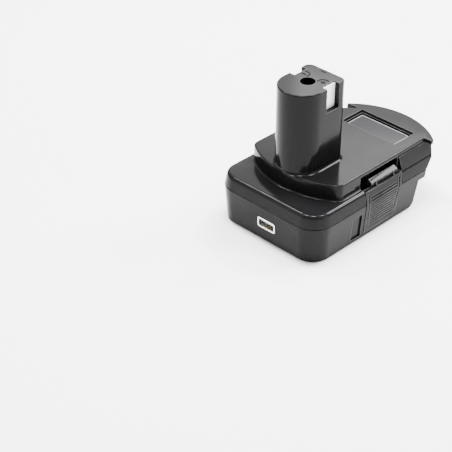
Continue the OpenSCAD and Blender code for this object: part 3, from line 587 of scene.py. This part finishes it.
def surface(name, points, rows_closed=False, columns_closed=False):
    """An object from a grid of points, rows by columns by three, with poles merged and faces outwards."""
    rows, columns = points.shape[:2]
    mesh = bpy.data.meshes.new(name)
    mesh.from_pydata(points.reshape(-1, 3), [], grid_faces(rows, columns, rows_closed, columns_closed))
    work = bmesh.new()
    work.from_mesh(mesh)
    bmesh.ops.remove_doubles(work, verts=work.verts, dist=POLE_REACH)
    bmesh.ops.recalc_face_normals(work, faces=work.faces)
    work.to_mesh(mesh)
    work.free()
    piece = bpy.data.objects.new(name, mesh)
    bpy.context.scene.collection.objects.link(piece)
    return piece


def section(steps):
    """A squarish round section: the square roots of the cosine and the sine of a turning angle."""
    angle = np.linspace(0.0, 2.0 * pi, steps, endpoint=False)
    wave = np.stack([np.cos(angle), np.sin(angle)], -1)
    return np.sign(wave) * np.sqrt(np.abs(wave))


def bar_spacing(length, half_width, middle_steps=9, cap_steps=7):
    """Distances along a bar, and its share of the full width there.

    The share is one along the middle, and falls to nought at both ends as a half circle does.
    """
    turn = np.linspace(0.0, pi / 2.0, cap_steps)
    cap = half_width * (1.0 - np.cos(turn))
    middle = np.linspace(half_width, length - half_width, middle_steps)[1:-1]
    distance = np.concatenate([cap, middle, length - cap[::-1]])
    share = np.concatenate([np.sin(turn), np.ones(len(middle)), np.sin(turn)[::-1]])
    return distance, share


def bar(name, place, side, share, half_width, rise):
    """A raised bar: its section is carried along the places, as wide as its share allows, half sunk."""
    outline = section(BAR_SIDES)
    across = side[:, None, :] * (outline[None, :, :1] * half_width * share[:, None, None])
    up = np.array([0.0, 0.0, 1.0]) * outline[None, :, 1:] * rise
    return surface(name, place[:, None, :] + across + up, columns_closed=True)


def straight_bar(name, centre, direction, length, half_width, rise):
    """A raised straight bar: places step along its direction from one end to the other."""
    distance, share = bar_spacing(length, half_width)
    along = np.array([np.cos(direction), np.sin(direction), 0.0])
    side = np.array([-np.sin(direction), np.cos(direction), 0.0])
    place = np.array(centre) + along * (distance - length / 2.0)[:, None]
    return bar(name, place, np.broadcast_to(side, place.shape), share, half_width, rise)


def arc_bar(name, centre, radius, span, half_width, rise):
    """A raised bar bent round a centre: places turn through the span of angles at one radius."""
    start, end = span
    distance, share = bar_spacing(radius * (end - start), half_width, ARC_STEPS)
    angle = start + distance / radius
    side = np.stack([np.cos(angle), np.sin(angle), np.zeros_like(angle)], -1)
    return bar(name, np.array(centre) + radius * side, side, share, half_width, rise)


def rounded_outline(half_x, half_y, radius, steps=8):
    """Points round a rectangle: each corner's centre plus the radius in a direction that turns once round.

    The half sizes and the radius may be arrays of one shape, and the points are then added as last axes.
    """
    angle = np.concatenate([np.linspace(k * pi / 2.0, (k + 1) * pi / 2.0, steps) for k in range(4)])
    middle = angle.reshape(4, steps).mean(1).repeat(steps)
    half_x, half_y, radius = (np.asarray(value)[..., None] for value in (half_x, half_y, radius))
    x = np.sign(np.cos(middle)) * (half_x - radius) + radius * np.cos(angle)
    y = np.sign(np.sin(middle)) * (half_y - radius) + radius * np.sin(angle)
    return np.stack([x, y], -1)


def plate(name, centre, half_x, half_y, corner, insets, heights):
    """A flat plate: rounded outlines from the middle of its underside to the middle of its top.

    Each outline is drawn in by its inset and lifted by its height.
    """
    inset = np.array(insets)
    outline = rounded_outline(half_x - inset, half_y - inset, np.maximum(corner - inset, 0.0))
    lift = np.broadcast_to(np.array(heights)[:, None, None], (*outline.shape[:2], 1))
    return surface(name, np.concatenate([outline, lift], -1) + np.array(centre), columns_closed=True)


def frame_ring(half_x, half_y, corner, half_width, half_depth, steps=14):
    """A ring round a rounded rectangle: its section moves each outline out and in, and back and forth.

    The result has the outlines' two coordinates and the depth, section by outline by three.
    """
    outline = section(steps)
    out = outline[:, 0] * half_width
    ring = rounded_outline(half_x + out, half_y + out, corner + out)
    depth = np.broadcast_to((outline[:, 1] * half_depth)[:, None, None], (*ring.shape[:2], 1))
    return np.concatenate([ring, depth], -1)


def coil(name, start, end, radius, wire, turns, closing, sides=12, steps=26):
    """A coil spring along X: a circle of wire carried along a helix whose pitch is smaller at both ends.

    The helix turns steadily, and its advance is the turn less a sine wave that slows it at the ends. The
    first and the last circle shrink to a point, which closes the ends of the wire.
    """
    turn = np.linspace(0.0, 1.0, int(turns * steps) + 1)
    advance = turn - closing * np.sin(2.0 * pi * turn) / (2.0 * pi)
    angle = 2.0 * pi * turns * turn
    out = np.stack([np.zeros_like(angle), np.cos(angle), np.sin(angle)], -1)
    place = np.array(start) + (np.array(end) - np.array(start)) * advance[:, None] + radius * out
    along = np.gradient(place, axis=0)
    along /= np.linalg.norm(along, axis=1, keepdims=True)
    beside = np.cross(along, out)
    share = np.concatenate([[0.0], np.ones(len(turn)), [0.0]])
    rows = np.concatenate([[0], np.arange(len(turn)), [len(turn) - 1]])
    around = np.linspace(0.0, 2.0 * pi, sides, endpoint=False)[None, :, None]
    ring = out[rows, None, :] * np.cos(around) + beside[rows, None, :] * np.sin(around)
    points = place[rows, None, :] + ring * (wire / 2.0) * share[:, None, None]
    return surface(name, points, columns_closed=True)


def build_smooth_by_angle(name):
    """Geometry nodes that shade faces smooth, with edges sharp where they turn past the soft angle."""
    group = bpy.data.node_groups.new(name, "GeometryNodeTree")
    for way in ("INPUT", "OUTPUT"):
        group.interface.new_socket("Geometry", in_out=way, socket_type="NodeSocketGeometry")
    faces = add(group, "GeometryNodeSetShadeSmooth", domain="FACE")
    edges = add(group, "GeometryNodeSetShadeSmooth", domain="EDGE")
    compare = add(group, "FunctionNodeCompare", data_type="FLOAT", operation="GREATER_THAN")
    angle = add(group, "GeometryNodeInputMeshEdgeAngle")
    feed(group, compare.inputs[0], angle.outputs["Unsigned Angle"])
    compare.inputs[1].default_value = SOFT_ANGLE
    feed(group, faces.inputs["Geometry"], add(group, "NodeGroupInput").outputs[0])
    feed(group, edges.inputs["Geometry"], faces.outputs[0])
    feed(group, edges.inputs["Selection"], compare.outputs[0])
    edges.inputs["Shade Smooth"].default_value = False
    feed(group, add(group, "NodeGroupOutput").inputs[0], edges.outputs[0])
    return group


def soften(piece):
    """Joins loose triangles and shades round faces smooth, with large faces leading at their borders."""
    weld = piece.modifiers.new("Weld", "WELD")
    weld.merge_threshold = WELD_REACH
    smooth = piece.modifiers.new("Smooth", "NODES")
    smooth.node_group = shared_group("Smooth by angle", build_smooth_by_angle)
    lead = piece.modifiers.new("Lead", "WEIGHTED_NORMAL")
    lead.keep_sharp = True
    lead.weight = FACE_LEAD


def settle(piece, material):
    """Gives a new piece its finish and the body that it rides on, and softens it."""
    piece.data.materials.append(material)
    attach(piece, HOUSING_BODY)
    soften(piece)


def dress(material, *names):
    """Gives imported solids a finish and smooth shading."""
    for name in names:
        solid = frame["nodes"][name]
        solid.data.materials.clear()
        solid.data.materials.append(material)
        soften(solid)


def wind_spring(joint, settings, steel):
    """Winds the coil behind one latch, in the place of its spring.
    """
    spring = joint["deforming_nodes"][0]
    node = spring["node"]
    fixed_x = spring["fixed_end_x_m"]
    low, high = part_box(node)
    free_x = max(low.x, high.x, key=abs)
    middle = (low + high) / 2.0
    inset = np.sign(free_x - fixed_x) * settings.wire / 2.0
    start = (fixed_x + inset, middle.y, middle.z)
    end = (free_x - inset, middle.y, middle.z)
    radius = (high.y - low.y - settings.wire) / 2.0
    piece = coil(node.replace("spring", "coil"), start, end, radius, settings.wire, settings.turns,
                 settings.closing)
    settle(piece, steel)
    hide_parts(node)
    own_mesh(piece)


# Stage helpers

def lay_floor(colour):
    """Lays a pale floor: a square grid at one height."""
    reach = np.linspace(-FLOOR_REACH, FLOOR_REACH, FLOOR_POINTS)
    x, y = np.meshgrid(reach, reach)
    floor = surface("floor", np.stack([x, y, np.full_like(x, -FLOOR_DROP)], -1))
    floor.data.materials.append(floor_paint(colour))


def white_room(strength):
    """White surroundings of one strength."""
    world = bpy.data.worlds.new("white_room")
    world.use_nodes = True
    sky = world.node_tree.nodes["Background"]
    sky.inputs["Color"].default_value = opaque((1.0, 1.0, 1.0))
    sky.inputs["Strength"].default_value = strength
    return world


def soft_box(name, power, place, size):
    """Hangs a rectangular soft light that faces the object."""
    lamp = bpy.data.lights.new(name, "AREA")
    lamp.shape = "RECTANGLE"
    lamp.size, lamp.size_y = size
    lamp.energy = power
    light = bpy.data.objects.new(name, lamp)
    light.location = place
    light.rotation_euler = (Vector(place) - Vector(LIGHT_TARGET)).to_track_quat("Z", "Y").to_euler()
    bpy.context.scene.collection.objects.link(light)


def stand_camera(stage):
    """The camera at its place."""
    lens = bpy.data.cameras.new("camera")
    lens.sensor_width = SENSOR_WIDTH
    lens.lens = stage.lens
    camera = bpy.data.objects.new("camera", lens)
    camera.location = stage.camera_place
    camera.rotation_euler = stage.camera_turn
    bpy.context.scene.collection.objects.link(camera)
    return camera


# Operators

class ADAPTER_OT_stage(bpy.types.Operator):
    """Set up the floor, the soft light and the camera"""
    bl_idname = "adapter.stage"
    bl_label = "Stage"

    def execute(self, context):
        stage = context.scene.adapter_stage
        lay_floor(stage.floor_colour)
        context.scene.world = white_room(stage.sky)
        for name, setting, place, size in SOFT_BOXES:
            soft_box(name, getattr(stage, setting), place, size)
        context.scene.camera = stand_camera(stage)
        return {"FINISHED"}


class ADAPTER_OT_housing(bpy.types.Operator):
    """Finish the lower shell and the upper cover"""
    bl_idname = "adapter.housing"
    bl_label = "Housing"

    def execute(self, context):
        dress(housing_plastic(context.scene.adapter_finish), "lower_shell", "upper_cover")
        return {"FINISHED"}


class ADAPTER_OT_latches(bpy.types.Operator):
    """Finish the two squeeze latches"""
    bl_idname = "adapter.latches"
    bl_label = "Latches"

    def execute(self, context):
        dress(latch_plastic(context.scene.adapter_finish), "latch_left", "latch_right")
        return {"FINISHED"}


class ADAPTER_OT_hinges(bpy.types.Operator):
    """Finish the hinge pins and wind the springs that push the latches out"""
    bl_idname = "adapter.hinges"
    bl_label = "Hinges"

    def execute(self, context):
        dress(zinc_steel("pin_zinc"), "latch_pin_left", "latch_pin_right")
        steel = zinc_steel("spring_zinc")
        for joint in frame["joints"]:
            wind_spring(joint, context.scene.adapter_coil, steel)
        return {"FINISHED"}


class ADAPTER_OT_contacts(bpy.types.Operator):
    """Finish the contacts of the stem, the blades in the channel and the mouldings that hold them"""
    bl_idname = "adapter.contacts"
    bl_label = "Contacts"

    def execute(self, context):
        finish = context.scene.adapter_finish
        dress(nickel_plate(finish), "contact_left", "contact_right")
        dress(blade_brass(), "positive_blade", "negative_blade")
        dress(insulator_plastic(finish), "contact_carrier", "terminal_block")
        return {"FINISHED"}


class ADAPTER_OT_port(bpy.types.Operator):
    """Finish the charging port and roll the rim round its mouth"""
    bl_idname = "adapter.port"
    bl_label = "Port"

    def execute(self, context):
        rim = context.scene.adapter_rim
        steel = port_steel(context.scene.adapter_finish)
        dress(steel, "usb_shell")
        dress(port_insulator(), "usb_tongue")
        dress(gold_flash(), "usb_contacts")
        centre = (PORT_LOW + PORT_HIGH) / 2.0
        half = (PORT_HIGH - PORT_LOW) / 2.0
        ring = frame_ring(half.x, half.z, rim.corner, rim.width / 2.0, rim.depth / 2.0)
        across, up, back = np.moveaxis(ring, -1, 0)
        points = np.stack([across + centre.x, back + PORT_LOW.y, up + centre.z], -1)
        settle(surface("usb_rim", points, rows_closed=True, columns_closed=True), steel)
        return {"FINISHED"}


class ADAPTER_OT_board(bpy.types.Operator):
    """Finish the converter board and the parts on it"""
    bl_idname = "adapter.board"
    bl_label = "Board"

    def execute(self, context):
        dress(board_resin(), "usb_board")
        dress(ferrite(), "inductor")
        dress(capacitor_sleeve(), "capacitors")
        dress(chip_resin(), "regulator_chip")
        return {"FINISHED"}


class ADAPTER_OT_leads(bpy.types.Operator):
    """Finish the inner leads"""
    bl_idname = "adapter.leads"
    bl_label = "Leads"

    def execute(self, context):
        # The edge colours, lighter than the leads, are painted highlights along their outer edges
        red = lead_vinyl("red_vinyl", colour=(0.42, 0.018, 0.014), edge_highlight_colour=(0.672, 0.0288, 0.0224))
        black = lead_vinyl("black_vinyl", colour=(0.020, 0.020, 0.022), edge_highlight_colour=(0.032, 0.032, 0.0352))
        dress(red, "wire_positive", "usb_wire_positive")
        dress(black, "wire_negative", "usb_wire_negative")
        return {"FINISHED"}


class ADAPTER_OT_screws(bpy.types.Operator):
    """Finish the screws"""
    bl_idname = "adapter.screws"
    bl_label = "Screws"

    def execute(self, context):
        dress(zinc_steel("screw_zinc"), "stem_screw", "housing_screws")
        return {"FINISHED"}


class ADAPTER_OT_label(bpy.types.Operator):
    """Lay the bare plate and its border into the label recess"""
    bl_idname = "adapter.label"
    bl_label = "Label"

    def execute(self, context):
        label = context.scene.adapter_label
        half_x = label.width / 2.0
        half_y = label.length / 2.0
        bevel = label.thickness * PLATE_BEVEL
        middle = min(half_x, half_y)
        insets = (middle, 0.0, 0.0, bevel, middle)
        heights = (0.0, 0.0, label.thickness - bevel, label.thickness, label.thickness)
        film = plate("label_plate", label.centre, half_x, half_y, label.corner, insets, heights)
        settle(film, label_film())
        half_border = label.border / 2.0
        ring = frame_ring(half_x - label.border, half_y - label.border, label.corner - half_border,
                          half_border, label.thickness * BORDER_RISE)
        points = ring + np.array(label.centre) + np.array((0.0, 0.0, label.thickness))
        border = surface("label_border", points, rows_closed=True, columns_closed=True)
        settle(border, label_border())
        return {"FINISHED"}


class ADAPTER_OT_signs(bpy.types.Operator):
    """Raise the plus, the minus and the dash on the stem's top, with arcs round the first two"""
    bl_idname = "adapter.signs"
    bl_label = "Signs"

    def execute(self, context):
        sign = context.scene.adapter_sign
        plastic = sign_plastic(context.scene.adapter_finish)
        half = sign.stroke / 2.0
        rise = sign.rise
        cross_rise = rise * CROSS_SHARE
        bars = [straight_bar("sign_plus_across", sign.plus_place, 0.0, sign.reach, half, rise),
                straight_bar("sign_plus_along", sign.plus_place, pi / 2.0, sign.reach, half, cross_rise),
                straight_bar("sign_minus", sign.minus_place, 0.0, sign.reach, half, rise),
                straight_bar("sign_dash", sign.dash_place, 0.0, sign.dash_reach, half, rise),
                arc_bar("sign_plus_arc", sign.plus_place, sign.arc_radius, PLUS_ARC, half, rise),
                arc_bar("sign_minus_arc", sign.minus_place, sign.arc_radius, MINUS_ARC, half, rise)]
        for piece in bars:
            settle(piece, plastic)
        return {"FINISHED"}


class ADAPTER_PT_sidebar(bpy.types.Panel):
    """Lists the operators and the settings"""
    bl_idname = "ADAPTER_PT_sidebar"
    bl_label = "Tool battery adapter"
    bl_space_type = "VIEW_3D"
    bl_region_type = "UI"
    bl_category = "Adapter"

    def draw(self, context):
        for operator in OPERATORS:
            self.layout.operator(operator.bl_idname)
        for name, group in SETTINGS.items():
            box = self.layout.box()
            for label in group.__annotations__:
                box.prop(getattr(context.scene, name), label)


SETTINGS = {
    "adapter_finish": FinishSettings,
    "adapter_label": LabelSettings,
    "adapter_sign": SignSettings,
    "adapter_rim": RimSettings,
    "adapter_coil": CoilSettings,
    "adapter_stage": StageSettings,
}
OPERATORS = (
    ADAPTER_OT_stage,
    ADAPTER_OT_housing,
    ADAPTER_OT_latches,
    ADAPTER_OT_hinges,
    ADAPTER_OT_contacts,
    ADAPTER_OT_port,
    ADAPTER_OT_board,
    ADAPTER_OT_leads,
    ADAPTER_OT_screws,
    ADAPTER_OT_label,
    ADAPTER_OT_signs,
)


def register():
    """Registers the settings, the operators and the panel."""
    for name, group in SETTINGS.items():
        bpy.utils.register_class(group)
        setattr(bpy.types.Scene, name, PointerProperty(type=group))
    for operator in OPERATORS:
        bpy.utils.register_class(operator)
    bpy.utils.register_class(ADAPTER_PT_sidebar)


def unregister():
    """Takes everything back out."""
    bpy.utils.unregister_class(ADAPTER_PT_sidebar)
    for operator in reversed(OPERATORS):
        bpy.utils.unregister_class(operator)
    for name, group in SETTINGS.items():
        delattr(bpy.types.Scene, name)
        bpy.utils.unregister_class(group)


def main():
    """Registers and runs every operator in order."""
    register()
    bpy.ops.adapter.stage()
    bpy.ops.adapter.housing()
    bpy.ops.adapter.latches()
    bpy.ops.adapter.hinges()
    bpy.ops.adapter.contacts()
    bpy.ops.adapter.port()
    bpy.ops.adapter.board()
    bpy.ops.adapter.leads()
    bpy.ops.adapter.screws()
    bpy.ops.adapter.label()
    bpy.ops.adapter.signs()


if __name__ == "__main__":
    main()
